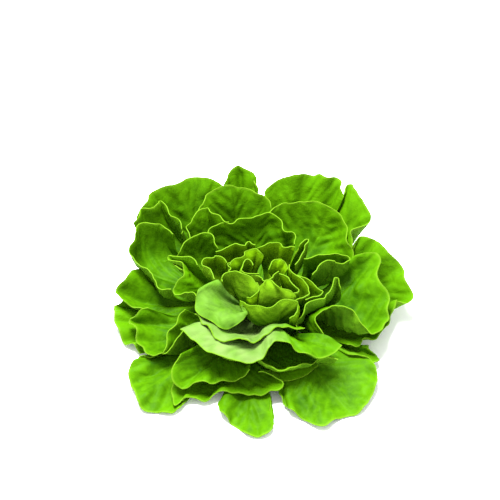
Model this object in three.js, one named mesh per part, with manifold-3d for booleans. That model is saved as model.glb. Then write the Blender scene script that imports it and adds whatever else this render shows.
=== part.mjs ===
// An open head of butterhead lettuce, resting on its cut stem and its lowest leaves.
// Millimetres, +Z up. The origin is the centre of the stem's cut face. The front of the head faces -Y.
import * as THREE from "three";
import { mergeVertices } from "three/addons/utils/BufferGeometryUtils.js";
import Module from "manifold-3d";

// Driving dimensions
const VIEW_ELEVATION = 50;
const STEM_RADIUS = 15;
const STEM_HEIGHT = 30;
const STEM_TOP_RADIUS = 5;
const LOWEST_ROOT = 5;
const HIGHEST_ROOT = 27;
const ROOT_GAP = 0.8;
const ROOT_HALF_WIDTH = [2, 5];
const BLADE_THICKNESS = 0.9;
const RIB_THICKNESS = 1;
const ROOT_HANDLE = 0.62;
const MARGIN_HANDLE = 0.42;
const LEAF_GAP = 0.3;
const SLIVER = 0.04;
const RUFFLES = [7, 12];
const EYE = new THREE.Vector3(0, 0, 8);
const BORDER = 1.5;
const CLEARANCE = 2.8;
const STEM_CLEARANCE = 2;
const FLOOR_CLEARANCE = 1.2;
const MOST_PUSH = 3;
const CLEARING_ROUNDS = 80;

// Grid of a blade: steps from root to margin, and steps along its margin for each point given
const STEPS_ALONG = 6;
const HEART_STEPS_ALONG = 5;
const STEPS_PER_POINT = 1.4;

const LEAF_GREEN = 0x5fa81c;
const HEART_GREEN = 0x9ccf3a;
const STEM_CREAM = 0xdfe6b8;

const rad = THREE.MathUtils.degToRad;
const { lerp, clamp, smoothstep } = THREE.MathUtils;

// Leaves from the inside out. Each has its name, how far it leans from upright at its root and at its margin, in degrees,
// how deep its margin ruffles, and points of its margin, counterclockwise from above. A point of the margin is given as
// it is seen from the front at VIEW_ELEVATION: how far to the right, how far up the view, and its height.
const LEAVES = [
  ["heart_core", 30, 40, 1, [[21, 39, 59], [19, 44, 61], [15, 48, 62.5], [9, 46, 63], [4, 41, 61]]],
  ["heart_core_left", 40, -15, 1, [[-8, 45, 60], [-14, 46, 61], [-18, 41, 60], [-14, 36, 59], [-7, 34, 58]]],
  ["heart_core_front", 50, 10, 1, [[-5, 37, 58], [-2, 33, 59], [4, 31, 60], [9, 34, 60], [11, 38, 60]]],
  ["heart_core_right", 50, -10, 1, [[14, 22, 56], [22, 21, 57], [27, 23, 58], [25, 28, 60], [19, 32, 61], [11, 37, 61]]],
  ["heart_core_back", 50, 35, 1, [[0, 50, 60], [-5, 57, 62], [-12, 54, 62], [-18, 50, 61], [-25, 46, 59], [-29, 42, 56]]],
  ["heart_left_inner", 55, -5, 1, [[-19, 45, 58], [-24, 44, 58], [-26, 40, 57], [-24, 36, 56]]],
  ["heart_front_inner", 65, -50, 1, [[-12, 17, 55], [-6, 22, 58], [-1, 27, 61], [3, 31.5, 63], [8, 30, 63], [14, 25, 61], [21, 22, 60], [27, 19, 57]]],
  ["heart_back", 60, 15, 1, [[26, 57, 60], [18, 58, 60], [10, 60.5, 62], [2, 60, 63], [-4, 56, 61]]],
  ["heart_cup", 60, -10, 1, [[-37, 26, 55], [-34, 33, 60], [-26, 38, 63], [-16, 37, 64], [-8, 31, 63], [-3, 24, 60], [-8, 18, 57], [-14, 15, 54]]],
  ["heart_right", 65, 10, 1, [[24, 17, 55], [31, 18, 56], [36, 20, 57], [36, 25, 58], [31, 31, 60], [24, 37, 61]]],
  ["heart_left", 65, 0, 1.5, [[-29, 45, 59], [-35, 50, 61], [-42, 50, 60], [-48, 45, 57], [-43, 38, 55], [-38, 32, 54]]],
  ["heart_front", 85, -20, 1, [[-20, 14, 55], [-12, 12.5, 58], [0, 10, 60], [11, 12, 61], [20, 16, 62], [27, 14, 60], [28, 7, 56], [22, -2, 52]]],
  ["heart_back_left", 65, 0, 1.5, [[-6, 60, 60], [-15, 60, 61], [-24, 59, 60], [-31, 56, 59], [-37, 53, 57]]],
  ["heart_right_fold", 70, 10, 1, [[34, 15, 54], [44, 20, 54], [51, 20, 53], [45, 24, 56], [35, 31, 59], [27, 36, 60], [17, 43, 61]]],
  ["heart_back_right", 65, 0, 1.5, [[27, 44, 55], [32, 54, 59], [37, 63, 63], [28, 59, 61], [21, 53, 60]]],
  ["inner_right_low", 85, -10, 1.5, [[24, -5, 44], [30, 5, 50], [36, 13, 54], [46, 18, 55], [54, 25, 56], [58, 34, 60], [60, 24, 52]]],
  ["inner_right", 75, 5, 1.5, [[42, 35, 55], [45, 43, 58], [52, 46.5, 58], [60, 45, 55], [69, 45, 51], [71, 50, 50], [58, 50.5, 53], [44, 50.5, 56], [31, 48, 57]]],
  ["inner_left_front", 55, 140, 1, [[-38, 31, 59], [-50, 22, 56], [-55, 13, 50], [-51, 3, 46], [-41, -6, 43], [-30, -9, 43], [-21, -4, 47], [-13, 4, 51], [-16, 13, 56]]],
  ["inner_left", 75, 40, 2, [[-50, 45, 56], [-64, 48.5, 53], [-77, 49, 48], [-70, 42, 45], [-63, 35, 46], [-71, 27, 41], [-68, 22, 39], [-60, 20, 42], [-55, 15, 42]]],
  ["inner_left_curl", 75, 0, 1, [[-32, 52, 56], [-36, 57, 59], [-39, 64, 62], [-44, 68, 63], [-54, 67, 61], [-62, 62, 58], [-67, 54, 55], [-65, 47, 53], [-59, 43.5, 53]]],
  ["inner_front", 90, 60, 1.5, [[-55, 3, 43], [-48, -2, 46], [-41, -10, 48], [-32, -16, 50], [-20, -18.5, 51], [-8, -17, 52], [2, -10, 54], [12, -5.5, 55], [23, -6.5, 54], [33, -10, 50]]],
  ["middle_back", 80, 0, 2, [[27, 60, 52], [23, 69, 56], [13, 79, 60], [-1, 84.5, 62], [-13, 81, 61], [-27, 76.5, 59], [-40, 73, 56], [-48, 66, 52]]],
  ["middle_back_left", 80, 10, 2, [[-27, 78, 60], [-35, 81.5, 61], [-43, 87, 62], [-50, 88.5, 62], [-58, 81, 59], [-60, 70, 54], [-60, 60, 48]]],
  ["middle_front", 85, 110, 1.5, [[-66, -8, 38], [-58, -14, 42], [-48, -22, 43], [-37, -28, 43], [-24, -31, 44], [-11, -33, 44], [0, -29, 46], [10, -16, 50], [17, -17, 49], [26, -24, 45], [40, -29, 41], [54, -27, 38], [62, -21, 37]]],
  ["middle_left_front", 85, 40, 1.5, [[-62, 8, 40], [-69, -2, 35], [-75, -11, 31], [-78, -19, 27], [-80, -28, 23], [-72, -20, 27], [-65, -10, 32], [-56, -9.5, 36], [-47, -11, 39]]],
  ["middle_right", 85, 50, 1, [[47, -21, 32], [51, -15, 36], [43, -7, 42], [45, 5, 47], [58, 11.5, 50], [71, 6, 46], [78, -5, 39], [85, -10, 35], [96, -5, 33], [101, 8, 35], [101, 21, 39], [92, 32, 44], [92, 42, 46], [95, 52, 48], [86, 52.5, 47], [74, 51, 46]]],
  ["middle_back_right", 82, 15, 2, [[71, 44, 40], [71.5, 55, 44], [70, 67, 49], [63, 80, 55], [53, 92, 60], [40, 94, 62], [25, 94, 62], [12, 89, 60], [2, 86, 58]]],
  ["middle_front_under", 85, 20, 1.5, [[-50, -18, 36], [-34, -26, 38], [-16, -30, 38], [2, -34, 34], [16, -38, 30], [36, -35, 30], [58, -29, 32]]],
  ["outer_left_cup", 85, 5, 2, [[-72, 68, 50], [-84, 76, 54], [-97, 77, 55], [-105, 70, 53], [-106, 58, 48], [-101, 45, 42], [-90, 33, 37], [-80, 23.5, 33], [-74, 23, 33]]],
  ["outer_left_back", 85, 10, 2, [[-63, 67, 46], [-70, 79, 51], [-78, 89, 56], [-85, 95, 59], [-92, 90.5, 57], [-99, 86, 55], [-104, 76, 51]]],
  ["outer_left_front", 88, 50, 2, [[-93, 8, 25], [-104, 2, 22], [-105, -8, 19], [-98, -20, 16], [-90, -29, 14], [-82, -31, 16], [-78, -24, 22]]],
  ["outer_back", 85, 20, 2, [[9, 84, 57], [3, 97, 63], [-8, 102, 65], [-20, 106, 67], [-30, 109.5, 68], [-41, 101, 65], [-52, 89, 59], [-56, 78, 53]]],
  ["outer_left", 88, 40, 2, [[-88, 43, 36], [-99, 43, 37], [-108, 37, 34], [-115, 28, 30], [-115, 17, 25], [-106, 9, 22], [-94, 6, 21], [-83, 3.5, 21]]],
  ["outer_back_right", 85, 30, 2, [[65, 98, 59], [64, 112, 65], [54, 115, 68], [45, 117, 69], [40, 114.5, 68], [30, 117.5, 70], [18, 115, 69], [8, 108.5, 66], [2, 102, 63], [4, 92, 58]]],
  ["outer_right_under", 88, 50, 2, [[68, -21, 15], [81, -19.5, 14], [91, -14, 16], [101, -4, 19], [105, 7, 23], [106, 16, 27]]],
  ["outer_right_back", 85, 40, 2, [[72, 58, 45], [74, 70, 49], [82, 76, 51], [88, 83, 54], [83, 93, 58], [77, 103, 62], [71, 109, 65], [64, 102, 62], [57, 94, 58]]],
  ["outer_back_left", 85, 30, 2, [[-27, 99, 62], [-38, 111, 67], [-54, 114.5, 69], [-72, 109.5, 66], [-90, 101, 60], [-101, 88, 54], [-99, 77, 49]]],
  ["outer_back_tip", 85, 30, 2, [[-1, 92, 60], [-5, 106, 66], [-8, 119, 71], [-15, 120.5, 71], [-21, 124.5, 73], [-27, 119, 71], [-34, 104, 64]]],
  ["outer_right", 88, 50, 2.5, [[104, 16, 26], [119, 10, 21], [121, 17, 24], [116, 30, 30], [111, 42, 35], [103, 53, 41], [93, 62, 46], [79, 66, 48], [71, 58, 45]]],
  ["outer_left_low", 85, 75, 2.5, [[-103, 12, 17], [-117, 15, 16], [-121, 4, 12], [-118, -9, 9], [-108, -20, 7], [-99, -28, 5]]],
  ["outer_front_left", 70, 80, 2, [[-66, -28, 32], [-72, -40, 25], [-72, -49, 20], [-62, -51.5, 18], [-48, -51.5, 17], [-36, -50, 18], [-24, -46.5, 20], [-10, -43, 22]]],
  ["outer_front_fold", 82, 60, 1.5, [[-73, -52, 12], [-69, -70, 3], [-60, -62, 7], [-45, -66, 4], [-41, -60, 9], [-24, -59, 10], [-8, -58, 12], [9, -58, 13], [17, -51.5, 17], [10, -45, 21], [-4, -43, 22]]],
  ["outer_front_shade", 80, 85, 1.5, [[-20, -42, 14], [-4, -47, 12], [12, -50, 11], [26, -48, 11], [36, -42, 14], [44, -36, 17]]],
  ["outer_front_right", 80, 90, 2, [[12, -56, 13], [16, -64, 9], [24, -74, 6], [34, -80, 2], [46, -84.5, 5], [60, -78, 2], [76, -71, 7], [88, -59, 4], [91, -45, 11], [86, -33, 13], [68, -27, 18]]],
  ["outer_right_low", 80, 80, 1.5, [[84, -37, 9], [93, -33, 8], [88, -27, 10], [81, -21, 13], [70, -18, 17]]],
  ["outer_front_corner", 80, 80, 2, [[-88, -26, 17], [-101, -31, 10], [-107, -42, 11], [-104, -56, 3], [-97, -67, 9], [-84, -74, 1.5], [-70, -72, 6], [-62, -60, 10]]],
  ["lowest_front", 80, 90, 2, [[-26, -60, 9], [-35, -65, 6], [-34, -74, 5], [-22, -84, 1.5], [-8, -91, 4], [4, -91, 1], [8, -82, 6], [6, -68, 9]]],
  ["lowest_back_right", 80, 95, 1, [[84, 20, 10], [85, 38, 6], [70, 52, 4], [52, 60, 4], [36, 58, 8]]],
  ["lowest_back", 80, 95, 1, [[28, 56, 8], [22, 66, 4], [4, 70, 2], [-16, 70, 4], [-30, 60, 8]]],
  ["lowest_back_left", 80, 95, 1, [[-40, 60, 10], [-50, 62, 5], [-72, 54, 3], [-86, 40, 6], [-88, 26, 10]]],
].map(([name, rootLean, marginLean, ruffle, margin], rank, all) => ({
  name,
  rank,
  outward: rank / (all.length - 1),
  rootLean,
  marginLean,
  ruffle,
  margin: margin.map(inSpace),
}));

// A point that is seen from the front, so far to the right and so far up the view, at its height above the floor
function inSpace([right, upView, height]) {
  const elevation = rad(VIEW_ELEVATION);
  return new THREE.Vector3(right, (upView - height * Math.cos(elevation)) / Math.sin(elevation), height);
}

// A repeatable number from 0 to 1 for leaf number n
function draw(n, salt) {
  const x = Math.sin(n * 12.9898 + salt * 78.233) * 43758.5453;
  return x - Math.floor(x);
}

// The stem's radius at a height: a straight taper from the cut face to a blunt top
function stemRadius(z) {
  return lerp(STEM_RADIUS, STEM_TOP_RADIUS, clamp(z / STEM_HEIGHT, 0, 1));
}

// The middle surface of a leaf, as rows of points from its root to its margin. Each column is one curve from root to margin.
function leafSurface(leaf) {
  const along = isHeart(leaf) ? HEART_STEPS_ALONG : STEPS_ALONG;
  const across = Math.round(STEPS_PER_POINT * leaf.margin.length);
  const margin = new THREE.CatmullRomCurve3(leaf.margin, false, "centripetal");
  const middle = leaf.margin.reduce((sum, p) => sum.add(p), new THREE.Vector3());
  const outward = new THREE.Vector3(middle.x, middle.y, 0).normalize();
  const sideways = new THREE.Vector3(-outward.y, outward.x, 0);
  const rootHeight = lerp(HIGHEST_ROOT, LOWEST_ROOT, leaf.outward);
  const root = outward.clone().multiplyScalar(stemRadius(rootHeight) + ROOT_GAP).setZ(rootHeight);
  const rootHalfWidth = lerp(...ROOT_HALF_WIDTH, leaf.outward);
  const columns = [];
  for (let b = 0; b <= across; b++) {
    const v = (2 * b) / across - 1;
    const start = root.clone().addScaledVector(sideways, rootHalfWidth * v);
    const end = margin.getPointAt(b / across);
    const away = new THREE.Vector3(end.x - start.x, end.y - start.y, 0).normalize();
    const ripples = RUFFLES.map((lobes, i) => Math.sin(lobes * v + 2 * Math.PI * draw(leaf.rank, i)));
    end.addScaledVector(leaning(away, leaf.marginLean + 90), leaf.ruffle * (ripples[0] + ripples[1]));
    const reach = start.distanceTo(end);
    const rootAway = away.clone().lerp(outward, 0.5).normalize();
    const curve = new THREE.CubicBezierCurve3(
      start,
      start.clone().addScaledVector(leaning(rootAway, leaf.rootLean), ROOT_HANDLE * reach),
      end.clone().addScaledVector(leaning(away, leaf.marginLean), -MARGIN_HANDLE * reach),
      end,
    );
    columns.push(curve.getPoints(along));
  }
  return columns[0].map((_, a) => columns.map((points) => points[a]));
}

function isHeart(leaf) {
  return leaf.name.startsWith("heart");
}

// The direction that leans so many degrees from upright, away from the stem
function leaning(away, lean) {
  return new THREE.Vector3(0, 0, Math.cos(rad(lean))).addScaledVector(away, Math.sin(rad(lean)));
}

// The unit normal at each point of a grid, on the side that faces away from the head's middle
function outwardNormals(grid) {
  const last = [grid.length - 1, grid[0].length - 1];
  return grid.map((row, a) =>
    row.map((_, b) => {
      const ahead = grid[Math.min(a + 1, last[0])][b];
      const behind = grid[Math.max(a - 1, 0)][b];
      const left = row[Math.max(b - 1, 0)];
      const right = row[Math.min(b + 1, last[1])];
      const along = new THREE.Vector3().subVectors(ahead, behind);
      const across = new THREE.Vector3().subVectors(right, left);
      return across.cross(along).normalize();
    }),
  );
}

// A point as seen from EYE: how far round from an azimuth, how far away, and the angle from upright
function seenFromEye(p, azimuth) {
  const turn = Math.atan2(p.y, p.x) - azimuth;
  return [Math.atan2(Math.sin(turn), Math.cos(turn)), p.distanceTo(EYE), Math.atan2(Math.hypot(p.x, p.y), p.z - EYE.z)];
}

// A grid with a border of points added beyond its margin and its two sides
function bordered(grid) {
  const beyond = (edge, inner) => edge.clone().add(new THREE.Vector3().subVectors(edge, inner).setLength(BORDER));
  const rows = grid.map((row) => [beyond(row[0], row[1]), ...row, beyond(row.at(-1), row.at(-2))]);
  return [...rows, rows.at(-1).map((p, b) => beyond(p, rows.at(-2)[b]))];
}

// A leaf as the others meet it: its triangles as seen from EYE, in one flat list, and the bounds of each
function facets(grid) {
  const middle = grid.flat().reduce((sum, p) => sum.add(p), new THREE.Vector3());
  const azimuth = Math.atan2(middle.y, middle.x);
  const seen = bordered(grid).map((row) => row.map((p) => seenFromEye(p, azimuth)));
  const list = [];
  for (let a = 1; a < seen.length; a++) {
    for (let b = 1; b < seen[0].length; b++) {
      const [p, q, r, s] = [seen[a - 1][b - 1], seen[a - 1][b], seen[a][b], seen[a][b - 1]];
      list.push(...p, ...q, ...r, ...p, ...r, ...s);
    }
  }
  const turns = seen.flat().map(([turn]) => turn);
  return { azimuth, list: Float64Array.from(list), least: Math.min(...turns), most: Math.max(...turns) };
}

// The least and the greatest angle from upright at which a leaf lies, so far round and so far away, where it lies there
function anglesAt({ list, least, most }, turn, distance) {
  if (turn < least || turn > most) return null;
  let low = Infinity;
  let high = -Infinity;
  for (let k = 0; k < list.length; k += 9) {
    const x1 = list[k + 3] - list[k];
    const y1 = list[k + 4] - list[k + 1];
    const x2 = list[k + 6] - list[k];
    const y2 = list[k + 7] - list[k + 1];
    const x = turn - list[k];
    const y = distance - list[k + 1];
    const area = x1 * y2 - x2 * y1;
    const u = (x * y2 - x2 * y) / area;
    const v = (x1 * y - x * y1) / area;
    if (!(u >= 0 && v >= 0 && u + v <= 1)) continue;
    const angle = list[k + 2] + u * (list[k + 5] - list[k + 2]) + v * (list[k + 8] - list[k + 2]);
    low = Math.min(low, angle);
    high = Math.max(high, angle);
  }
  return high < low ? null : [low, high];
}

// How far point p of leaf number i has to swing down from upright, to lie between the leaves inside it and outside it
function swing(p, i, leaves) {
  let down = 0;
  let up = 0;
  leaves.forEach((other, j) => {
    if (i === j) return;
    const [turn, distance, angle] = seenFromEye(p, other.azimuth);
    const angles = anglesAt(other, turn, distance);
    if (!angles) return;
    const gap = (i < j ? angles[0] - angle : angle - angles[1]) * distance;
    const short = clamp((CLEARANCE - gap) / 2, 0, MOST_PUSH);
    if (i < j) up = Math.max(up, short);
    else down = Math.max(down, short);
  });
  return down - up;
}

// Bends the leaves clear of each other, of the stem and of the floor
function bendClear(grids) {
  for (let round = 0; round < CLEARING_ROUNDS; round++) {
    const leaves = grids.map(facets);
    const pushes = grids.map((grid, i) =>
      grid.map((row, a) =>
        row.map((p) => {
          const outward = new THREE.Vector3(p.x, p.y, 0).normalize();
          const [, , angle] = seenFromEye(p, 0);
          const push = leaning(outward, THREE.MathUtils.radToDeg(angle) + 90).multiplyScalar(swing(p, i, leaves));
          const inside = stemRadius(p.z) + (a === 0 ? ROOT_GAP : STEM_CLEARANCE) - Math.hypot(p.x, p.y);
          if (p.z < STEM_HEIGHT && inside > 0) push.addScaledVector(outward, inside);
          if (p.z < FLOOR_CLEARANCE) push.z += FLOOR_CLEARANCE - p.z;
          return push;
        }),
      ),
    );
    grids.forEach((grid, i) => {
      const soft = smoothed(pushes[i]);
      grid.forEach((row, a) => row.forEach((p, b) => p.add(soft[a][b])));
    });
  }
}

// Each push averaged with those next to it
function smoothed(field) {
  return field.map((row, a) =>
    row.map((value, b) => {
      const near = [field[a - 1]?.[b], field[a + 1]?.[b], row[b - 1], row[b + 1]].filter(Boolean);
      const mean = near.reduce((sum, v) => sum.add(v), new THREE.Vector3());
      return mean.multiplyScalar(1 / near.length).lerp(value, 0.5);
    }),
  );
}

// A closed blade round a middle surface, thicker along its rib, and grown by an extra all round
function blade(grid, extra = 0) {
  const normals = outwardNormals(grid);
  const rows = grid.length;
  const columns = grid[0].length;
  const middle = (columns - 1) / 2;
  const positions = [];
  const place = (front) =>
    grid.forEach((row, a) =>
      row.forEach((p, b) => {
        const rib = Math.exp(-(((b - middle) / (0.16 * columns)) ** 2)) * (1 - a / (rows - 1));
        const half = front ? BLADE_THICKNESS / 2 : BLADE_THICKNESS / 2 + RIB_THICKNESS * rib;
        positions.push(...p.clone().addScaledVector(normals[a][b], (front ? -1 : 1) * (half + extra)).toArray());
      }),
    );
  place(true);
  place(false);
  const at = (a, b, back) => (back ? rows * columns : 0) + a * columns + b;
  const faces = [];
  const quad = (p, q, r, s) => faces.push(p, q, r, p, r, s);
  for (let a = 0; a < rows - 1; a++) {
    for (let b = 0; b < columns - 1; b++) {
      const corners = (back) => [at(a, b, back), at(a, b + 1, back), at(a + 1, b + 1, back), at(a + 1, b, back)];
      const [p, q, r, s] = corners(false);
      faces.push(p, r, q, p, s, r);
      quad(...corners(true));
    }
  }
  const rim = [];
  for (let b = 0; b < columns - 1; b++) rim.push([0, b]);
  for (let a = 0; a < rows - 1; a++) rim.push([a, columns - 1]);
  for (let b = columns - 1; b > 0; b--) rim.push([rows - 1, b]);
  for (let a = rows - 1; a > 0; a--) rim.push([a, 0]);
  rim.forEach(([a, b], i) => {
    const [c, d] = rim[(i + 1) % rim.length];
    quad(at(a, b, false), at(c, d, false), at(c, d, true), at(a, b, true));
  });
  const geometry = new THREE.BufferGeometry();
  geometry.setAttribute("position", new THREE.Float32BufferAttribute(positions, 3));
  geometry.setIndex(faces);
  return geometry;
}

const wasm = await Module();
wasm.setup();

function toSolid(geometry) {
  const merged = mergeVertices(geometry, 1e-4);
  const triVerts = new Uint32Array(merged.index.array);
  return new wasm.Manifold(
    new wasm.Mesh({ numProp: 3, vertProperties: merged.attributes.position.array, triVerts }),
  );
}

function toGeometry(solid) {
  const { vertProperties, triVerts } = solid.getMesh();
  const geometry = new THREE.BufferGeometry();
  geometry.setAttribute("position", new THREE.BufferAttribute(vertProperties, 3));
  geometry.setIndex(new THREE.BufferAttribute(triVerts, 1));
  return geometry;
}

// Where two leaves still cross, the outer one is cut back from the inner one by a gap, and its largest piece is kept
// without slivers
function cutClear(grids) {
  const solids = grids.map((grid) => toSolid(blade(grid)));
  const grown = grids.map((grid) => toSolid(blade(grid, LEAF_GAP)));
  return solids.map((solid, i) => {
    const crossed = grown.slice(0, i).flatMap((inner, j) => (meets(solid, inner) ? [inner, solids[j]] : []));
    if (!crossed.length) return toGeometry(solid);
    const pieces = solid.subtract(wasm.Manifold.union(crossed)).simplify(SLIVER).decompose();
    return toGeometry(pieces.reduce((best, piece) => (piece.volume() > best.volume() ? piece : best)));
  });
}

function meets(one, other) {
  return one.intersect(other).volume() > 0;
}

// The cut stem: a blunt cone on a flat cut face
function stemGeometry() {
  const bevel = 1.5;
  const profile = [
    [0, 0],
    [STEM_RADIUS - bevel, 0],
    [STEM_RADIUS, bevel],
    [stemRadius(STEM_HEIGHT - 2), STEM_HEIGHT - 2],
    [STEM_TOP_RADIUS - 2, STEM_HEIGHT],
    [0, STEM_HEIGHT],
  ].map(([r, z]) => new THREE.Vector2(r, z));
  return new THREE.LatheGeometry(profile, 24).rotateX(Math.PI / 2);
}

function solidMesh(name, geometry, color) {
  geometry.computeVertexNormals();
  const mesh = new THREE.Mesh(geometry, new THREE.MeshStandardMaterial({ color, roughness: 0.5, metalness: 0 }));
  mesh.name = name;
  return mesh;
}

const grids = LEAVES.map(leafSurface);
bendClear(grids);

const head = new THREE.Group();
head.add(solidMesh("stem", stemGeometry(), STEM_CREAM));
cutClear(grids).forEach((geometry, i) => {
  head.add(solidMesh(LEAVES[i].name, geometry, isHeart(LEAVES[i]) ? HEART_GREEN : LEAF_GREEN));
});

export default head;
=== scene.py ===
import math

import bpy
import numpy as np
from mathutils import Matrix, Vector
from mathutils.noise import noise


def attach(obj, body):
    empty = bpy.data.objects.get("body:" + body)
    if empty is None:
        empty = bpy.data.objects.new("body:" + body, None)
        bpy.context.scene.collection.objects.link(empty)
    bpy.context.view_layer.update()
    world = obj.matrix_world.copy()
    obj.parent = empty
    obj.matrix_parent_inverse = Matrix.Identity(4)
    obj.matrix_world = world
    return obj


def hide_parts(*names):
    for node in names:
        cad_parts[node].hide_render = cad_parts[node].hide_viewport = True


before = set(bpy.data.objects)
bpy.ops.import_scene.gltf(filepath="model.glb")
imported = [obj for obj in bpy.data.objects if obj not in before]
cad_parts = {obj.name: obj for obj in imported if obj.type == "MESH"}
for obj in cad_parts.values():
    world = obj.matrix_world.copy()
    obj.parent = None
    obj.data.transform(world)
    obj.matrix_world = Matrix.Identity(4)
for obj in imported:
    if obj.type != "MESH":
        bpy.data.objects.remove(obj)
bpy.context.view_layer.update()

# An open head of butterhead lettuce. The leaves are drawn in millimetres, as in the part's source, and the meshes are
# in metres.
MM = 0.001
VIEW_ELEVATION = math.radians(50)
STEM_RADIUS = 15
STEM_HEIGHT = 30
STEM_TOP_RADIUS = 5
LOWEST_ROOT = 5
HIGHEST_ROOT = 27
ROOT_GAP = 0.8
ROOT_HALF_WIDTH = (2, 5)
ROOT_HANDLE = 0.62
MARGIN_HANDLE = 0.42
RUFFLES = (7, 12)
EYE = np.array([0, 0, 8])
BORDER = 1.5
CLEARANCE = 2.8
STEM_CLEARANCE = 2
FLOOR_CLEARANCE = 1.2
MOST_PUSH = 3
CLEARING_ROUNDS = 80
STEPS_ALONG = 6
HEART_STEPS_ALONG = 5
STEPS_PER_POINT = 1.4

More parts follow.
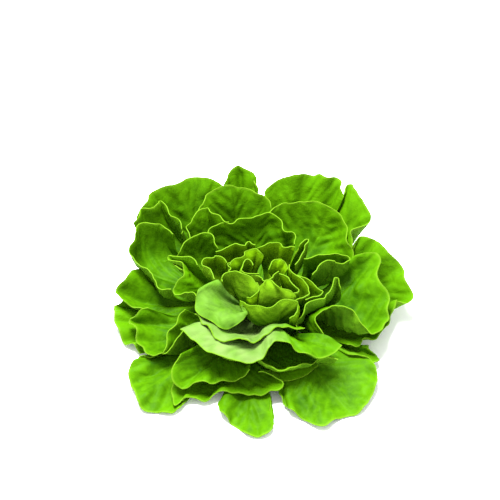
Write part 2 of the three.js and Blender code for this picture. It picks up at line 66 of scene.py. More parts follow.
# Leaves from the inside out: name, how far it leans from upright at its root and at its margin in degrees, how deep its
# margin ruffles, and points of its margin as they are seen from the front (to the right, up the view, height).
LEAVES = [
    ("heart_core", 30, 40, 1, [[21, 39, 59], [19, 44, 61], [15, 48, 62.5], [9, 46, 63], [4, 41, 61]]),
    ("heart_core_left", 40, -15, 1, [[-8, 45, 60], [-14, 46, 61], [-18, 41, 60], [-14, 36, 59], [-7, 34, 58]]),
    ("heart_core_front", 50, 10, 1, [[-5, 37, 58], [-2, 33, 59], [4, 31, 60], [9, 34, 60], [11, 38, 60]]),
    ("heart_core_right", 50, -10, 1, [
        [14, 22, 56], [22, 21, 57], [27, 23, 58], [25, 28, 60], [19, 32, 61], [11, 37, 61],
    ]),
    ("heart_core_back", 50, 35, 1, [
        [0, 50, 60], [-5, 57, 62], [-12, 54, 62], [-18, 50, 61], [-25, 46, 59], [-29, 42, 56],
    ]),
    ("heart_left_inner", 55, -5, 1, [[-19, 45, 58], [-24, 44, 58], [-26, 40, 57], [-24, 36, 56]]),
    ("heart_front_inner", 65, -50, 1, [
        [-12, 17, 55], [-6, 22, 58], [-1, 27, 61], [3, 31.5, 63], [8, 30, 63], [14, 25, 61], [21, 22, 60],
        [27, 19, 57],
    ]),
    ("heart_back", 60, 15, 1, [[26, 57, 60], [18, 58, 60], [10, 60.5, 62], [2, 60, 63], [-4, 56, 61]]),
    ("heart_cup", 60, -10, 1, [
        [-37, 26, 55], [-34, 33, 60], [-26, 38, 63], [-16, 37, 64], [-8, 31, 63], [-3, 24, 60], [-8, 18, 57],
        [-14, 15, 54],
    ]),
    ("heart_right", 65, 10, 1, [[24, 17, 55], [31, 18, 56], [36, 20, 57], [36, 25, 58], [31, 31, 60], [24, 37, 61]]),
    ("heart_left", 65, 0, 1.5, [
        [-29, 45, 59], [-35, 50, 61], [-42, 50, 60], [-48, 45, 57], [-43, 38, 55], [-38, 32, 54],
    ]),
    ("heart_front", 85, -20, 1, [
        [-20, 14, 55], [-12, 12.5, 58], [0, 10, 60], [11, 12, 61], [20, 16, 62], [27, 14, 60], [28, 7, 56],
        [22, -2, 52],
    ]),
    ("heart_back_left", 65, 0, 1.5, [[-6, 60, 60], [-15, 60, 61], [-24, 59, 60], [-31, 56, 59], [-37, 53, 57]]),
    ("heart_right_fold", 70, 10, 1, [
        [34, 15, 54], [44, 20, 54], [51, 20, 53], [45, 24, 56], [35, 31, 59], [27, 36, 60], [17, 43, 61],
    ]),
    ("heart_back_right", 65, 0, 1.5, [[27, 44, 55], [32, 54, 59], [37, 63, 63], [28, 59, 61], [21, 53, 60]]),
    ("inner_right_low", 85, -10, 1.5, [
        [24, -5, 44], [30, 5, 50], [36, 13, 54], [46, 18, 55], [54, 25, 56], [58, 34, 60], [60, 24, 52],
    ]),
    ("inner_right", 75, 5, 1.5, [
        [42, 35, 55], [45, 43, 58], [52, 46.5, 58], [60, 45, 55], [69, 45, 51], [71, 50, 50], [58, 50.5, 53],
        [44, 50.5, 56], [31, 48, 57],
    ]),
    ("inner_left_front", 55, 140, 1, [
        [-38, 31, 59], [-50, 22, 56], [-55, 13, 50], [-51, 3, 46], [-41, -6, 43], [-30, -9, 43], [-21, -4, 47],
        [-13, 4, 51], [-16, 13, 56],
    ]),
    ("inner_left", 75, 40, 2, [
        [-50, 45, 56], [-64, 48.5, 53], [-77, 49, 48], [-70, 42, 45], [-63, 35, 46], [-71, 27, 41], [-68, 22, 39],
        [-60, 20, 42], [-55, 15, 42],
    ]),
    ("inner_left_curl", 75, 0, 1, [
        [-32, 52, 56], [-36, 57, 59], [-39, 64, 62], [-44, 68, 63], [-54, 67, 61], [-62, 62, 58], [-67, 54, 55],
        [-65, 47, 53], [-59, 43.5, 53],
    ]),
    ("inner_front", 90, 60, 1.5, [
        [-55, 3, 43], [-48, -2, 46], [-41, -10, 48], [-32, -16, 50], [-20, -18.5, 51], [-8, -17, 52], [2, -10, 54],
        [12, -5.5, 55], [23, -6.5, 54], [33, -10, 50],
    ]),
    ("middle_back", 80, 0, 2, [
        [27, 60, 52], [23, 69, 56], [13, 79, 60], [-1, 84.5, 62], [-13, 81, 61], [-27, 76.5, 59], [-40, 73, 56],
        [-48, 66, 52],
    ]),
    ("middle_back_left", 80, 10, 2, [
        [-27, 78, 60], [-35, 81.5, 61], [-43, 87, 62], [-50, 88.5, 62], [-58, 81, 59], [-60, 70, 54], [-60, 60, 48],
    ]),
    ("middle_front", 85, 110, 1.5, [
        [-66, -8, 38], [-58, -14, 42], [-48, -22, 43], [-37, -28, 43], [-24, -31, 44], [-11, -33, 44], [0, -29, 46],
        [10, -16, 50], [17, -17, 49], [26, -24, 45], [40, -29, 41], [54, -27, 38], [62, -21, 37],
    ]),
    ("middle_left_front", 85, 40, 1.5, [
        [-62, 8, 40], [-69, -2, 35], [-75, -11, 31], [-78, -19, 27], [-80, -28, 23], [-72, -20, 27], [-65, -10, 32],
        [-56, -9.5, 36], [-47, -11, 39],
    ]),
    ("middle_right", 85, 50, 1, [
        [47, -21, 32], [51, -15, 36], [43, -7, 42], [45, 5, 47], [58, 11.5, 50], [71, 6, 46], [78, -5, 39],
        [85, -10, 35], [96, -5, 33], [101, 8, 35], [101, 21, 39], [92, 32, 44], [92, 42, 46], [95, 52, 48],
        [86, 52.5, 47], [74, 51, 46],
    ]),
    ("middle_back_right", 82, 15, 2, [
        [71, 44, 40], [71.5, 55, 44], [70, 67, 49], [63, 80, 55], [53, 92, 60], [40, 94, 62], [25, 94, 62],
        [12, 89, 60], [2, 86, 58],
    ]),
    ("middle_front_under", 85, 20, 1.5, [
        [-50, -18, 36], [-34, -26, 38], [-16, -30, 38], [2, -34, 34], [16, -38, 30], [36, -35, 30], [58, -29, 32],
    ]),
    ("outer_left_cup", 85, 5, 2, [
        [-72, 68, 50], [-84, 76, 54], [-97, 77, 55], [-105, 70, 53], [-106, 58, 48], [-101, 45, 42], [-90, 33, 37],
        [-80, 23.5, 33], [-74, 23, 33],
    ]),
    ("outer_left_back", 85, 10, 2, [
        [-63, 67, 46], [-70, 79, 51], [-78, 89, 56], [-85, 95, 59], [-92, 90.5, 57], [-99, 86, 55], [-104, 76, 51],
    ]),
    ("outer_left_front", 88, 50, 2, [
        [-93, 8, 25], [-104, 2, 22], [-105, -8, 19], [-98, -20, 16], [-90, -29, 14], [-82, -31, 16], [-78, -24, 22],
    ]),
    ("outer_back", 85, 20, 2, [
        [9, 84, 57], [3, 97, 63], [-8, 102, 65], [-20, 106, 67], [-30, 109.5, 68], [-41, 101, 65], [-52, 89, 59],
        [-56, 78, 53],
    ]),
    ("outer_left", 88, 40, 2, [
        [-88, 43, 36], [-99, 43, 37], [-108, 37, 34], [-115, 28, 30], [-115, 17, 25], [-106, 9, 22], [-94, 6, 21],
        [-83, 3.5, 21],
    ]),
    ("outer_back_right", 85, 30, 2, [
        [65, 98, 59], [64, 112, 65], [54, 115, 68], [45, 117, 69], [40, 114.5, 68], [30, 117.5, 70], [18, 115, 69],
        [8, 108.5, 66], [2, 102, 63], [4, 92, 58],
    ]),
    ("outer_right_under", 88, 50, 2, [
        [68, -21, 15], [81, -19.5, 14], [91, -14, 16], [101, -4, 19], [105, 7, 23], [106, 16, 27],
    ]),
    ("outer_right_back", 85, 40, 2, [
        [72, 58, 45], [74, 70, 49], [82, 76, 51], [88, 83, 54], [83, 93, 58], [77, 103, 62], [71, 109, 65],
        [64, 102, 62], [57, 94, 58],
    ]),
    ("outer_back_left", 85, 30, 2, [
        [-27, 99, 62], [-38, 111, 67], [-54, 114.5, 69], [-72, 109.5, 66], [-90, 101, 60], [-101, 88, 54],
        [-99, 77, 49],
    ]),
    ("outer_back_tip", 85, 30, 2, [
        [-1, 92, 60], [-5, 106, 66], [-8, 119, 71], [-15, 120.5, 71], [-21, 124.5, 73], [-27, 119, 71],
        [-34, 104, 64],
    ]),
    ("outer_right", 88, 50, 2.5, [
        [104, 16, 26], [119, 10, 21], [121, 17, 24], [116, 30, 30], [111, 42, 35], [103, 53, 41], [93, 62, 46],
        [79, 66, 48], [71, 58, 45],
    ]),
    ("outer_left_low", 85, 75, 2.5, [
        [-103, 12, 17], [-117, 15, 16], [-121, 4, 12], [-118, -9, 9], [-108, -20, 7], [-99, -28, 5],
    ]),
    ("outer_front_left", 70, 80, 2, [
        [-66, -28, 32], [-72, -40, 25], [-72, -49, 20], [-62, -51.5, 18], [-48, -51.5, 17], [-36, -50, 18],
        [-24, -46.5, 20], [-10, -43, 22],
    ]),
    ("outer_front_fold", 82, 60, 1.5, [
        [-73, -52, 12], [-69, -70, 3], [-60, -62, 7], [-45, -66, 4], [-41, -60, 9], [-24, -59, 10], [-8, -58, 12],
        [9, -58, 13], [17, -51.5, 17], [10, -45, 21], [-4, -43, 22],
    ]),
    ("outer_front_shade", 80, 85, 1.5, [
        [-20, -42, 14], [-4, -47, 12], [12, -50, 11], [26, -48, 11], [36, -42, 14], [44, -36, 17],
    ]),
    ("outer_front_right", 80, 90, 2, [
        [12, -56, 13], [16, -64, 9], [24, -74, 6], [34, -80, 2], [46, -84.5, 5], [60, -78, 2], [76, -71, 7],
        [88, -59, 4], [91, -45, 11], [86, -33, 13], [68, -27, 18],
    ]),
    ("outer_right_low", 80, 80, 1.5, [[84, -37, 9], [93, -33, 8], [88, -27, 10], [81, -21, 13], [70, -18, 17]]),
    ("outer_front_corner", 80, 80, 2, [
        [-88, -26, 17], [-101, -31, 10], [-107, -42, 11], [-104, -56, 3], [-97, -67, 9], [-84, -74, 1.5],
        [-70, -72, 6], [-62, -60, 10],
    ]),
    ("lowest_front", 80, 90, 2, [
        [-26, -60, 9], [-35, -65, 6], [-34, -74, 5], [-22, -84, 1.5], [-8, -91, 4], [4, -91, 1], [8, -82, 6],
        [6, -68, 9],
    ]),
    ("lowest_back_right", 80, 95, 1, [[84, 20, 10], [85, 38, 6], [70, 52, 4], [52, 60, 4], [36, 58, 8]]),
    ("lowest_back", 80, 95, 1, [[28, 56, 8], [22, 66, 4], [4, 70, 2], [-16, 70, 4], [-30, 60, 8]]),
    ("lowest_back_left", 80, 95, 1, [[-40, 60, 10], [-50, 62, 5], [-72, 54, 3], [-86, 40, 6], [-88, 26, 10]]),
]

# How strong the painted sheen is on leaves that have one, a pale patch standing in for light glancing off them, and how
# far to the right it goes
PAINTED_SHEEN = {"inner_left_front": 0.35, "inner_front": 0.8, "middle_front": 0.95}
PAINTED_SHEEN_END = 22
# How much lighter some leaves are painted than the others: partly their own paler tone, partly painted light where more
# light falls on them
TONE_AND_PAINTED_LIGHT = {
    "outer_back_right": 0.35,
    "outer_right_back": 0.3,
    "middle_back_right": 0.15,
    "outer_back_tip": 0.1,
    "outer_left_low": 0.3,
    "outer_right": 0.1,
    "inner_left": 0.2,
    "inner_left_front": 0.2,
    "heart_core_back": 0.2,
    "heart_core": 0.2,
    "heart_front_inner": 0.15,
}

# Blade detail, in millimetres
BLADE_THICKNESS = 0.7
RIB_THICKNESS = 1.1
RIB_SHARE = 0.16
VEIN_THICKNESS = 0.3
VEIN_RISE = 0.25
RIM_WIDTH = 1
GRID_STEP = 1.3
FEWEST_STEPS = (16, 24)
MOST_STEPS = (52, 110)
LOWEST_MIDDLE = 0.6
LOWEST_SKIN = 0.15
# How wide the waved strip along a margin is, and its waves: height, pitch, salt of the draw
WAVED_WIDTH = 8
HEART_WAVED_WIDTH = 5
WAVES = ((1.1, 27, 31), (0.6, 15, 32), (0.15, 8, 33))
# Blisters between the veins: the lumps' height, size and salt, and how far the blade lifts and sinks there
LUMPS = ((1.3, 13, 1), (0.7, 6, 2))
BLISTER_LIFT = 1.4
BLISTER_SINK = 0.9
VEIN_CLEARING = 3.5
HEART_RELIEF = 0.8
SIDE_VEINS = 6

# What the colour of a blade follows, at each of its points
LEAF_MARKS = ("vein", "rim", "quilt", "along", "painted_sheen", "tone_and_painted_light")
# Colour of each margin's thin strip: partly the leaf's paler margin, partly a painted highlight along the edge
RIM_TINT_AND_HIGHLIGHT = (0.13, 0.28, 0.010)
# The pale colour of the painted sheen
PAINTED_SHEEN_COLOUR = (0.17, 0.27, 0.07)
SHEEN = 0.03

CURVE_SAMPLES = 201
WHITE = (1, 1, 1, 1)
FLOOR_REACH = 4
PICTURE_SIDE = 500
PIXELS_PER_METRE = 1233
CAMERA_DISTANCE = 2.2
TARGET = Vector((-0.0105, 0.038, 0.040))


def lerp(a, b, t):
    return a + (b - a) * t


def unit(v):
    return v / np.maximum(np.linalg.norm(v, axis=-1, keepdims=True), 1e-9)


def draw(n, salt):
    """A repeatable number from 0 to 1 for leaf number n."""
    x = math.sin(n * 12.9898 + salt * 78.233) * 43758.5453
    return x - math.floor(x)


def in_space(right, up_view, height):
    """A point seen from the front, so far to the right and up the view, at its height above the floor."""
    return [right, (up_view - height * math.cos(VIEW_ELEVATION)) / math.sin(VIEW_ELEVATION), height]


def stem_radius(z):
    return lerp(STEM_RADIUS, STEM_TOP_RADIUS, np.clip(z / STEM_HEIGHT, 0, 1))


def leaning(away, degrees):
    """The direction that leans so many degrees from upright, away from the stem."""
    lean = np.radians(degrees)
    return away * np.sin(lean) + np.array([0, 0, 1]) * np.cos(lean)


def horizontal(v):
    return unit(v * np.array([1, 1, 0]))


def spline(points, t):
    """Points of the centripetal Catmull-Rom curve through the given points, at t from 0 to 1."""
    p = np.vstack([2 * points[0] - points[1], points, 2 * points[-1] - points[-2]])
    spans = len(points) - 1
    first = np.minimum((t * spans).astype(int), spans - 1)
    w = (t * spans - first)[:, None]
    x0, x1, x2, x3 = (p[first + k] for k in range(4))
    d0, d1, d2 = (np.linalg.norm(b - a, axis=1, keepdims=True) ** 0.5 for a, b in ((x0, x1), (x1, x2), (x2, x3)))
    t1 = ((x1 - x0) / d0 - (x2 - x0) / (d0 + d1) + (x2 - x1) / d1) * d1
    t2 = ((x2 - x1) / d1 - (x3 - x1) / (d1 + d2) + (x3 - x2) / d2) * d1
    return x1 + t1 * w + (-3 * x1 + 3 * x2 - 2 * t1 - t2) * w**2 + (2 * x1 - 2 * x2 + t1 + t2) * w**3


def spaced(points, count):
    """count + 1 points of the curve through the given points, evenly spaced along it."""
    t = np.linspace(0, 1, CURVE_SAMPLES)
    fine = spline(points, t)
    run = np.concatenate([[0], np.cumsum(np.linalg.norm(np.diff(fine, axis=0), axis=1))])
    return spline(points, np.interp(np.linspace(0, run[-1], count + 1), run, t))


def leaf_surface(rank, name, root_lean, margin_lean, ruffle, margin):
    """The middle surface of a leaf, as rows of points from its root to its margin."""
    along = HEART_STEPS_ALONG if name.startswith("heart") else STEPS_ALONG
    across = math.floor(STEPS_PER_POINT * len(margin) + 0.5)
    points = np.array([in_space(*p) for p in margin])
    place = rank / (len(LEAVES) - 1)
    outward = horizontal(points.sum(axis=0))
    sideways = np.array([-outward[1], outward[0], 0])
    root_height = lerp(HIGHEST_ROOT, LOWEST_ROOT, place)
    root = outward * (stem_radius(root_height) + ROOT_GAP) + [0, 0, root_height]
    v = np.linspace(-1, 1, across + 1)[:, None]
    start = root + sideways * lerp(*ROOT_HALF_WIDTH, place) * v
    end = spaced(points, across)
    away = horizontal(end - start)
    ripples = sum(np.sin(lobes * v + 2 * math.pi * draw(rank, i)) for i, lobes in enumerate(RUFFLES))
    end = end + leaning(away, margin_lean + 90) * ruffle * ripples
    reach = np.linalg.norm(end - start, axis=1, keepdims=True)
    after = start + leaning(unit(away + outward), root_lean) * ROOT_HANDLE * reach
    before = end - leaning(away, margin_lean) * MARGIN_HANDLE * reach
    t = np.linspace(0, 1, along + 1)[:, None, None]
    return (1 - t) ** 3 * start + 3 * (1 - t) ** 2 * t * after + 3 * (1 - t) * t**2 * before + t**3 * end


def seen_from_eye(p, azimuth):
    """How far round points are from an azimuth, how far away from EYE, and their angle from upright."""
    turn = np.arctan2(p[..., 1], p[..., 0]) - azimuth
    level = np.hypot(p[..., 0], p[..., 1])
    turned = np.arctan2(np.sin(turn), np.cos(turn))
    return np.stack([turned, np.linalg.norm(p - EYE, axis=-1), np.arctan2(level, p[..., 2] - EYE[2])], axis=-1)


def bordered(grid):
    """The grid with a border of points added beyond its margin and its two sides."""

    def beyond(edge, inner):
        return edge + unit(edge - inner) * BORDER

    rows = np.concatenate([beyond(grid[:, :1], grid[:, 1:2]), grid, beyond(grid[:, -1:], grid[:, -2:-1])], axis=1)
    return np.concatenate([rows, beyond(rows[-1:], rows[-2:-1])])


def facets(grid):
    """A leaf's triangles as seen from EYE: for each, the plane sums that give two shares and the angle at a place."""
    middle = grid.reshape(-1, 3).sum(axis=0)
    azimuth = math.atan2(middle[1], middle[0])
    seen = seen_from_eye(bordered(grid), azimuth)
    p, q, r, s = (x.reshape(-1, 3) for x in (seen[:-1, :-1], seen[:-1, 1:], seen[1:, 1:], seen[1:, :-1]))
    a, b, c = np.concatenate([p, p]), np.concatenate([q, r]), np.concatenate([r, s])
    (x1, y1, z1), (x2, y2, z2) = (b - a).T, (c - a).T
    area = x1 * y2 - x2 * y1
    area = np.where(np.abs(area) < 1e-9, 1e-9, area)
    first = np.stack([y2, -x2, x2 * a[:, 1] - y2 * a[:, 0]]) / area
    second = np.stack([-y1, x1, y1 * a[:, 0] - x1 * a[:, 1]]) / area
    angle = first * z1 + second * z2
    angle[2] += a[:, 2]
    return azimuth, first, second, angle, seen[..., 0].min(), seen[..., 0].max()


def bend_clear(grids):
    """Bends the leaves clear of each other, of the stem and of the floor."""
    sizes = [g.shape[0] * g.shape[1] for g in grids]
    owner = np.repeat(np.arange(len(grids)), sizes)
    in_root_row = np.concatenate([np.arange(size) < g.shape[1] for g, size in zip(grids, sizes)])
    stem_gap = np.where(in_root_row, ROOT_GAP, STEM_CLEARANCE)
    for _ in range(CLEARING_ROUNDS):
        points = np.concatenate([g.reshape(-1, 3) for g in grids])
        up, down = np.zeros(len(points)), np.zeros(len(points))
        for j, leaf in enumerate(facets(g) for g in grids):
            azimuth, first, second, slope, least, most = leaf
            seen = seen_from_eye(points, azimuth)
            near = np.flatnonzero((seen[:, 0] >= least) & (seen[:, 0] <= most) & (owner != j))
            at = np.column_stack([seen[near, :2], np.ones(len(near))])
            u, v = at @ first, at @ second
            inside = (u >= 0) & (v >= 0) & (u + v <= 1)
            angles = at @ slope
            low = np.where(inside, angles, np.inf).min(axis=1)
            high = np.where(inside, angles, -np.inf).max(axis=1)
            met = inside.any(axis=1)
            within = owner[near] < j
            own, distance = seen[near, 2], seen[near, 1]
            gap = np.where(within, low - own, own - high) * distance
            short = np.where(met, np.clip((CLEARANCE - gap) / 2, 0, MOST_PUSH), 0)
            up[near] = np.maximum(up[near], np.where(within, short, 0))
            down[near] = np.maximum(down[near], np.where(within, 0, short))
        outward = horizontal(points)
        angle = seen_from_eye(points, 0)[:, 2:]
        push = leaning(outward, np.degrees(angle) + 90) * (down - up)[:, None]
        inside = stem_radius(points[:, 2]) + stem_gap - np.hypot(points[:, 0], points[:, 1])
        push += outward * np.where((points[:, 2] < STEM_HEIGHT) & (inside > 0), inside, 0)[:, None]
        push[:, 2] += np.maximum(FLOOR_CLEARANCE - points[:, 2], 0)
        starts = np.cumsum([0, *sizes])
        for i, grid in enumerate(grids):
            grid += smoothed(push[starts[i] : starts[i + 1]].reshape(grid.shape))
    return grids


def smoothed(field):
    """Each push averaged with those next to it."""
    total = np.zeros_like(field)
    count = np.zeros(field.shape[:2] + (1,))
    for here, there in (
        (np.s_[1:], np.s_[:-1]),
        (np.s_[:-1], np.s_[1:]),
        (np.s_[:, 1:], np.s_[:, :-1]),
        (np.s_[:, :-1], np.s_[:, 1:]),
    ):
        total[here] += field[there]
        count[here] += 1
    return (total / count + field) / 2


def finer(grid, rows, columns):
    """The grid drawn through with smooth curves, to so many steps each way."""

    def through(points, steps):
        last = len(points) - 1
        t = np.linspace(0, last, steps + 1)
        k = np.minimum(t.astype(int), last - 1)
        w = (t - k).reshape(-1, *[1] * (points.ndim - 1))
        p = np.concatenate([2 * points[:1] - points[1:2], points, 2 * points[-1:] - points[-2:-1]])
        x0, x1, x2, x3 = (p[k + n] for n in range(4))
        return x1 + ((x2 - x0) * w + (2 * x0 - 5 * x1 + 4 * x2 - x3) * w**2 + (3 * x1 - x0 - 3 * x2 + x3) * w**3) / 2

    return through(through(grid, rows).swapaxes(0, 1), columns).swapaxes(0, 1)


def grid_normals(grid):
    """Unit normals on the side that faces away from the head's middle."""
    along = np.gradient(grid, axis=0)
    across = np.gradient(grid, axis=1)
    return unit(np.cross(across, along))


def noise_at(points, size, salt):
    """Smooth noise of about -1 to 1 at the points, in lumps of the given size."""
    shift = Vector((salt * 17.3, salt * 5.1, salt * 9.7))
    flat = points.reshape(-1, 3) / size
    return np.array([noise(Vector(p) + shift) for p in flat]).reshape(points.shape[:-1])


def runs(grid, axis):
    """How far each point is along its column or row, in millimetres."""
    steps = np.linalg.norm(np.diff(grid, axis=axis), axis=-1)
    start = np.zeros_like(np.take(steps, [0], axis=axis))
    return np.concatenate([start, np.cumsum(steps, axis=axis)], axis=axis)


def veins_on(grid, rank):
    """How much of a vein each point has, from 0 to 1, and how far it is from the nearest one."""
    rows, columns = grid.shape[:2]
    t = np.linspace(0, 1, rows)[:, None]
    v = np.linspace(-1, 1, columns)[None, :]
    half_width = runs(grid, 1)[:, -1:] / 2
    nearest = np.abs(v) * half_width
    strength = np.exp(-((nearest / lerp(2.2, 0.5, t)) ** 2)) * lerp(1, 0.45, t)
    for side in (-1, 1):
        for i in range(SIDE_VEINS):
            leave = (i + 0.35 * draw(rank, 3 + i + 7 * side)) / (SIDE_VEINS + 0.5)
            reach = lerp(1.05, 0.12, leave) * (0.9 + 0.25 * draw(rank, 20 + i + 7 * side))
            share = np.clip((t - leave) / (1 - leave), 0, 1)
            off = np.abs(v * side - reach * share**0.8) * half_width + np.where(t < leave, 40 * (leave - t), 0)
            strength = np.maximum(strength, np.exp(-((off / lerp(1.0, 0.5, t)) ** 2)) * lerp(0.75, 0.4, t))
            nearest = np.minimum(nearest, off)
    return strength, nearest


def detailed(grid, rank, name):
    """The fine middle surface of a leaf with its waved margin, blisters and veins, and its marks at each point."""
    length = runs(grid, 0)[-1].mean()
    width = runs(grid, 1)[-1, -1]
    rows = int(np.clip(length / GRID_STEP, FEWEST_STEPS[0], MOST_STEPS[0]))
    columns = int(np.clip(width / GRID_STEP, FEWEST_STEPS[1], MOST_STEPS[1]))
    fine = finer(grid, rows, columns)
    normals = grid_normals(fine)
    down = runs(fine, 0)
    sideways = runs(fine, 1)
    to_margin = down[-1:] - down
    to_side = np.minimum(sideways, sideways[:, -1:] - sideways)
    edge = np.minimum(to_margin, to_side + 2)
    veins, off_vein = veins_on(fine, rank)
    heart = name.startswith("heart")
    waved_width = HEART_WAVED_WIDTH if heart else WAVED_WIDTH
    free = np.exp(-((edge / waved_width) ** 2)) * np.clip(down / 12, 0, 1)
    path = sideways[-1:]
    wave = sum(
        height * np.sin(2 * math.pi * (path / pitch + draw(rank, salt) + 0.35 * np.sin(path / 17 + salt)))
        for height, pitch, salt in WAVES
    )
    lumps = sum(height * noise_at(fine, size, salt) for height, size, salt in LUMPS)
    open_blade = np.clip(down / 15, 0, 1) * np.clip(edge / 4, 0.25, 1)
    quilt = (1 - np.exp(-((off_vein / VEIN_CLEARING) ** 2))) * open_blade
    relief = free * wave + lumps * quilt * BLISTER_LIFT - BLISTER_SINK * quilt
    lift = (HEART_RELIEF if heart else 1) * relief + VEIN_RISE * veins
    fine = fine + normals * lift[..., None]
    fine[..., 2] = np.maximum(fine[..., 2], LOWEST_MIDDLE)
    painted_sheen = np.zeros_like(veins)
    # Painted sheen: a patchy pale wash, fading out towards the right, standing in for light glancing off the leaf
    if name in PAINTED_SHEEN:
        patchy = np.clip(0.75 + 0.5 * noise_at(fine, 9, 3), 0, 1)
        painted_sheen = PAINTED_SHEEN[name] * patchy * np.clip((PAINTED_SHEEN_END - fine[..., 0]) / 20, 0, 1)
    marks = {
        "vein": veins,
        # The margin's strip, coloured partly as the leaf's paler edge, partly as a painted highlight
        "rim": np.clip(1 - to_margin / RIM_WIDTH, 0, 1),
        # Quilt marks the blisters; the colour darkens there, partly the leaf's own deeper green between the veins,
        # partly painted shade in the hollows
        "quilt": np.clip(quilt * (0.5 + 0.5 * lumps), 0, 1),
        "along": down / down[-1:],
        "painted_sheen": painted_sheen,
        # Painted lighter on the leaves listed: partly their own paler tone, partly painted light where more light falls
        # on them
        "tone_and_painted_light": np.full_like(veins, TONE_AND_PAINTED_LIGHT.get(name, 0)),
    }
    return fine, marks


def mesh_of(name, points, quads, materials, material_of, marks):
    """A closed smooth mesh in metres, with a material for each face and the named number at each point."""
    mesh = bpy.data.meshes.new(name)
    mesh.vertices.add(len(points))
    mesh.vertices.foreach_set("co", (points * MM).astype(np.float32).ravel())
    mesh.loops.add(quads.size)
    mesh.loops.foreach_set("vertex_index", quads.astype(np.int32).ravel())
    mesh.polygons.add(len(quads))
    mesh.polygons.foreach_set("loop_start", np.arange(0, quads.size, 4, dtype=np.int32))
    for material in materials:
        mesh.materials.append(material)
    mesh.polygons.foreach_set("material_index", material_of.astype(np.int32))
    for mark, values in marks.items():
        mesh.attributes.new(mark, "FLOAT", "POINT").data.foreach_set("value", values.astype(np.float32).ravel())
    mesh.update(calc_edges=True)
    mesh.validate()
    mesh.shade_smooth()
    mesh.set_sharp_from_angle(angle=math.radians(60))
    piece = bpy.data.objects.new(name, mesh)
    bpy.context.scene.collection.objects.link(piece)
    return piece


def blade(rank, name, grid, upper, underside):
    """A leaf as a closed blade, thicker along its rib, with its upper face towards the head's middle."""
    fine, marks = detailed(grid, rank, name)
    normals = grid_normals(fine)
    rows, columns = fine.shape[:2]
    v = np.linspace(-1, 1, columns)[None, :]
    rib = np.exp(-((v / RIB_SHARE) ** 2)) * (1 - marks["along"])
    half = BLADE_THICKNESS / 2
    outer = half + RIB_THICKNESS * rib + VEIN_THICKNESS * marks["vein"]
    skins = (fine - normals * half, fine + normals * outer[..., None])
    points = np.concatenate([skin.reshape(-1, 3) for skin in skins])
    points[:, 2] = np.maximum(points[:, 2], LOWEST_SKIN)
    at = np.arange(rows * columns).reshape(rows, columns)
    corners = [x.ravel() for x in (at[:-1, :-1], at[:-1, 1:], at[1:, 1:], at[1:, :-1])]
    back = rows * columns
    inner_faces = np.stack(corners[::-1], axis=1)
    outer_faces = np.stack(corners, axis=1) + back
    ring = np.concatenate([at[0, :-1], at[:-1, -1], at[-1, :0:-1], at[:0:-1, 0]])
    after = np.roll(ring, -1)
    rim_faces = np.stack([ring, after, after + back, ring + back], axis=1)
    quads = np.concatenate([inner_faces, outer_faces, rim_faces])
    kinds = np.repeat([0, 1, 0], [len(inner_faces), len(outer_faces), len(rim_faces)])
    both_faces = {mark: np.stack([values, values]) for mark, values in marks.items()}
    piece = mesh_of(f"{name}_blade", points, quads, [upper, underside], kinds, both_faces)
    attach(piece, "root")
    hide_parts(name)


def socket(tree, name, kind, way="INPUT", value=None):
    """A named input or output of a node group."""
    made = tree.interface.new_socket(name=name, in_out=way, socket_type=f"NodeSocket{kind}")
    if value is not None:
        made.default_value = value


def node(tree, kind, **settings):
    """A node with its settings, where in_2 sets the input of number 2."""
    made = tree.nodes.new(f"ShaderNode{kind}")
    for key, value in settings.items():
        if key.startswith("in_"):
            made.inputs[int(key[3:])].default_value = value
        else:
            setattr(made, key, value)
    return made


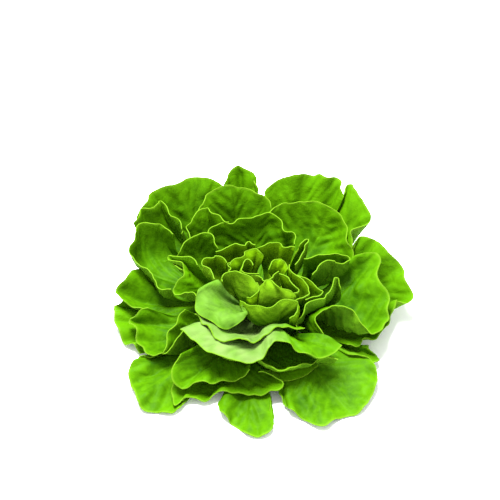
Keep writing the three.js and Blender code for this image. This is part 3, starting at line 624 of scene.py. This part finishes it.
def leaf_tint():
    """The colour of a leaf's face, painted light and shade mixed from its lit and shaded colours, and the height of its
    fine relief, from its marks and from patches and grain.
    """
    tree = bpy.data.node_groups.new("leaf tint", "ShaderNodeTree")
    for name in ("Lit", "Shaded", "Vein", "Rim tint and highlight", "Painted sheen"):
        socket(tree, name, "Color")
    socket(tree, "Vein strength", "Float", value=0.5)
    socket(tree, "Depth", "Float", value=2)
    socket(tree, "Color", "Color", "OUTPUT")
    socket(tree, "Height", "Float", "OUTPUT")
    given = tree.nodes.new("NodeGroupInput")
    out = tree.nodes.new("NodeGroupOutput")
    link = tree.links.new
    place = node(tree, "TexCoord")
    marks = {name: node(tree, "Attribute", attribute_name=name) for name in LEAF_MARKS}

    def math_node(operation, *values):
        made = node(tree, "Math", operation=operation)
        for i, value in enumerate(values):
            if isinstance(value, (int, float)):
                made.inputs[i].default_value = value
            else:
                link(value, made.inputs[i])
        return made.outputs[0]

    def mixed(factor, a, b):
        made = node(tree, "Mix", data_type="RGBA")
        link(factor, made.inputs[0])
        link(a, made.inputs[6])
        link(b, made.inputs[7])
        return made.outputs[2]

    def speckle(scale, detail, roughness, distortion=0):
        """Noise of so many lumps to the metre."""
        made = node(tree, "TexNoise", in_2=scale, in_3=detail, in_4=roughness)
        made.inputs["Distortion"].default_value = distortion
        link(place.outputs["Object"], made.inputs["Vector"])
        return made.outputs["Fac"]

    def stepped(value, low, high):
        made = node(tree, "MapRange", interpolation_type="SMOOTHSTEP")
        made.inputs["From Min"].default_value = low
        made.inputs["From Max"].default_value = high
        link(value, made.inputs["Value"])
        return made.outputs[0]

    def marked(name):
        return marks[name].outputs["Fac"]

    grain = speckle(260, 3, 0.6)
    crinkle = stepped(speckle(120, 3, 0.55, 0.6), 0.38, 0.62)
    patch = stepped(speckle(38, 4, 0.6), 0.32, 0.68)
    # Painted shade: the colour runs from the shaded colour near the leaf's base, deep in the head, to the lit colour at
    # its margin, as steeply as the group's power input says
    painted_light_to_margin = math_node("POWER", marked("along"), given.outputs["Depth"])
    # Random patches, plus the lift of the listed leaves: partly paler tone, partly painted light
    light = math_node("MULTIPLY_ADD", patch, 0.34, marked("tone_and_painted_light"))
    # Grain and crinkle vary the colour at random; the blisters pull it down, partly their own deeper green, partly
    # painted shade
    shares = ((grain, 0.2), (crinkle, 0.2), (painted_light_to_margin, 0.6), (marked("quilt"), -0.25))
    for amount, share in shares:
        light = math_node("ADD", light, math_node("MULTIPLY", amount, share))
    colour = mixed(light, given.outputs["Shaded"], given.outputs["Lit"])
    # Painted sheen: the pale patch on the leaves that have one
    colour = mixed(marked("painted_sheen"), colour, given.outputs["Painted sheen"])
    vein = math_node("MULTIPLY", marked("vein"), given.outputs["Vein strength"])
    colour = mixed(vein, colour, given.outputs["Vein"])
    # The margin's thin strip: partly the leaf's own paler edge, partly a painted highlight
    colour = mixed(marked("rim"), colour, given.outputs["Rim tint and highlight"])
    link(colour, out.inputs["Color"])
    relief = math_node("ADD", math_node("MULTIPLY", crinkle, 0.5), math_node("MULTIPLY", grain, 0.5))
    link(relief, out.inputs["Height"])
    return tree


def leaf_material(name, tint, lit, shaded, vein, roughness, glow, veined, painted_shade_power):
    """A leaf's face: a soft satin skin over a blade that lets a share of the light, its glow, through."""
    material = bpy.data.materials.new(name)
    material.use_nodes = True
    tree = material.node_tree
    link = tree.links.new
    skin = tree.nodes["Principled BSDF"]
    output = tree.nodes["Material Output"]
    skin.inputs["Roughness"].default_value = roughness
    skin.inputs["Specular IOR Level"].default_value = SHEEN
    colour = tree.nodes.new("ShaderNodeGroup")
    colour.node_tree = tint
    for key, value in (("Lit", lit), ("Shaded", shaded), ("Vein", vein), ("Rim tint and highlight", RIM_TINT_AND_HIGHLIGHT), ("Painted sheen", PAINTED_SHEEN_COLOUR)):
        colour.inputs[key].default_value = (*value, 1)
    colour.inputs["Vein strength"].default_value = veined
    colour.inputs["Depth"].default_value = painted_shade_power
    bump = node(tree, "Bump")
    bump.inputs["Strength"].default_value = 0.9
    bump.inputs["Distance"].default_value = 0.0004
    through = node(tree, "BsdfTranslucent")
    mix = node(tree, "MixShader")
    mix.inputs[0].default_value = glow
    link(colour.outputs["Color"], skin.inputs["Base Color"])
    link(colour.outputs["Height"], bump.inputs["Height"])
    link(bump.outputs["Normal"], skin.inputs["Normal"])
    link(colour.outputs["Color"], through.inputs["Color"])
    link(skin.outputs[0], mix.inputs[1])
    link(through.outputs[0], mix.inputs[2])
    link(mix.outputs[0], output.inputs["Surface"])
    return material


def speckled_material(name, low, high, roughness, scale, rise=0):
    """A matt surface whose colour goes from low to high in soft speckles, and with the height of a rising part."""
    material = bpy.data.materials.new(name)
    material.use_nodes = True
    tree = material.node_tree
    skin = tree.nodes["Principled BSDF"]
    skin.inputs["Roughness"].default_value = roughness
    place = node(tree, "TexCoord")
    speckles = node(tree, "TexNoise", in_2=scale, in_3=3)
    height = node(tree, "SeparateXYZ")
    risen = node(tree, "Math", operation="MULTIPLY_ADD", in_1=rise)
    mix = node(tree, "Mix", data_type="RGBA")
    mix.inputs[6].default_value = (*low, 1)
    mix.inputs[7].default_value = (*high, 1)
    link = tree.links.new
    link(place.outputs["Object"], speckles.inputs["Vector"])
    link(place.outputs["Object"], height.inputs[0])
    link(height.outputs["Z"], risen.inputs[0])
    link(speckles.outputs["Fac"], risen.inputs[2])
    link(risen.outputs[0], mix.inputs[0])
    link(mix.outputs[2], skin.inputs["Base Color"])
    return material


tint = leaf_tint()
# Each face mixes a lit and a shaded colour as painted light and shade, darker towards the leaf's base by the power
# given last
LEAF_FACES = (
    leaf_material(
        "leaf upper face", tint, lit=(0.075, 0.225, 0.001), shaded=(0.003, 0.035, 0.0004),
        vein=(0.10, 0.25, 0.003), roughness=0.5, glow=0.2, veined=0.3, painted_shade_power=2.8,
    ),
    leaf_material(
        "leaf underside", tint, lit=(0.10, 0.25, 0.006), shaded=(0.012, 0.07, 0.002),
        vein=(0.14, 0.29, 0.012), roughness=0.6, glow=0.18, veined=0.4, painted_shade_power=2.8,
    ),
)
HEART_FACES = (
    leaf_material(
        "heart upper face", tint, lit=(0.17, 0.38, 0.002), shaded=(0.004, 0.040, 0.0005),
        vein=(0.21, 0.40, 0.010), roughness=0.5, glow=0.2, veined=0.4, painted_shade_power=7,
    ),
    leaf_material(
        "heart underside", tint, lit=(0.16, 0.35, 0.006), shaded=(0.006, 0.050, 0.001),
        vein=(0.21, 0.38, 0.015), roughness=0.6, glow=0.2, veined=0.4, painted_shade_power=6,
    ),
)

grids = bend_clear([leaf_surface(rank, *leaf) for rank, leaf in enumerate(LEAVES)])
for rank, ((name, *_), grid) in enumerate(zip(LEAVES, grids)):
    blade(rank, name, grid, *(HEART_FACES if name.startswith("heart") else LEAF_FACES))

stem_skin = speckled_material(
    "stem skin", low=(0.74, 0.80, 0.42), high=(0.03, 0.11, 0.004), roughness=0.6, scale=300, rise=30
)
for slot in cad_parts["stem"].material_slots:
    slot.material = stem_skin

# Floor, light and camera
floor_mesh = bpy.data.meshes.new("floor")
floor_corners = [(x * FLOOR_REACH, y * FLOOR_REACH, 0) for x, y in ((-1, -1), (1, -1), (1, 1), (-1, 1))]
floor_mesh.from_pydata(floor_corners, [], [(0, 1, 2, 3)])
floor_skin = speckled_material("floor", low=(0.92, 0.92, 0.92), high=(0.94, 0.94, 0.94), roughness=0.9, scale=20)
floor_mesh.materials.append(floor_skin)
floor = bpy.data.objects.new("floor", floor_mesh)
bpy.context.scene.collection.objects.link(floor)

world = bpy.data.worlds.new("studio")
world.use_nodes = True
sky = world.node_tree.nodes["Background"]
sky.inputs["Color"].default_value = WHITE
sky.inputs["Strength"].default_value = 1.4
bpy.context.scene.world = world


def soft_light(name, place, target, size, power):
    """A round lamp, so many metres across and so many watts strong, that shines on the target."""
    lamp = bpy.data.lights.new(name, "AREA")
    lamp.shape = "DISK"
    lamp.size = size
    lamp.energy = power
    made = bpy.data.objects.new(name, lamp)
    made.location = place
    made.rotation_euler = (Vector(target) - Vector(place)).to_track_quat("-Z", "Y").to_euler()
    bpy.context.scene.collection.objects.link(made)


soft_light("overhead", place=(-0.2, 0.25, 1.5), target=(0, 0, 0), size=0.65, power=88)

lens = bpy.data.cameras.new("camera")
lens.angle = 2 * math.atan(PICTURE_SIDE / PIXELS_PER_METRE / 2 / CAMERA_DISTANCE)
camera = bpy.data.objects.new("camera", lens)
away = Vector((0, -math.cos(VIEW_ELEVATION), math.sin(VIEW_ELEVATION)))
camera.location = TARGET + away * CAMERA_DISTANCE
camera.rotation_euler = (-away).to_track_quat("-Z", "Y").to_euler()
bpy.context.scene.collection.objects.link(camera)
bpy.context.scene.camera = camera
bpy.context.scene.view_settings.view_transform = "Standard"
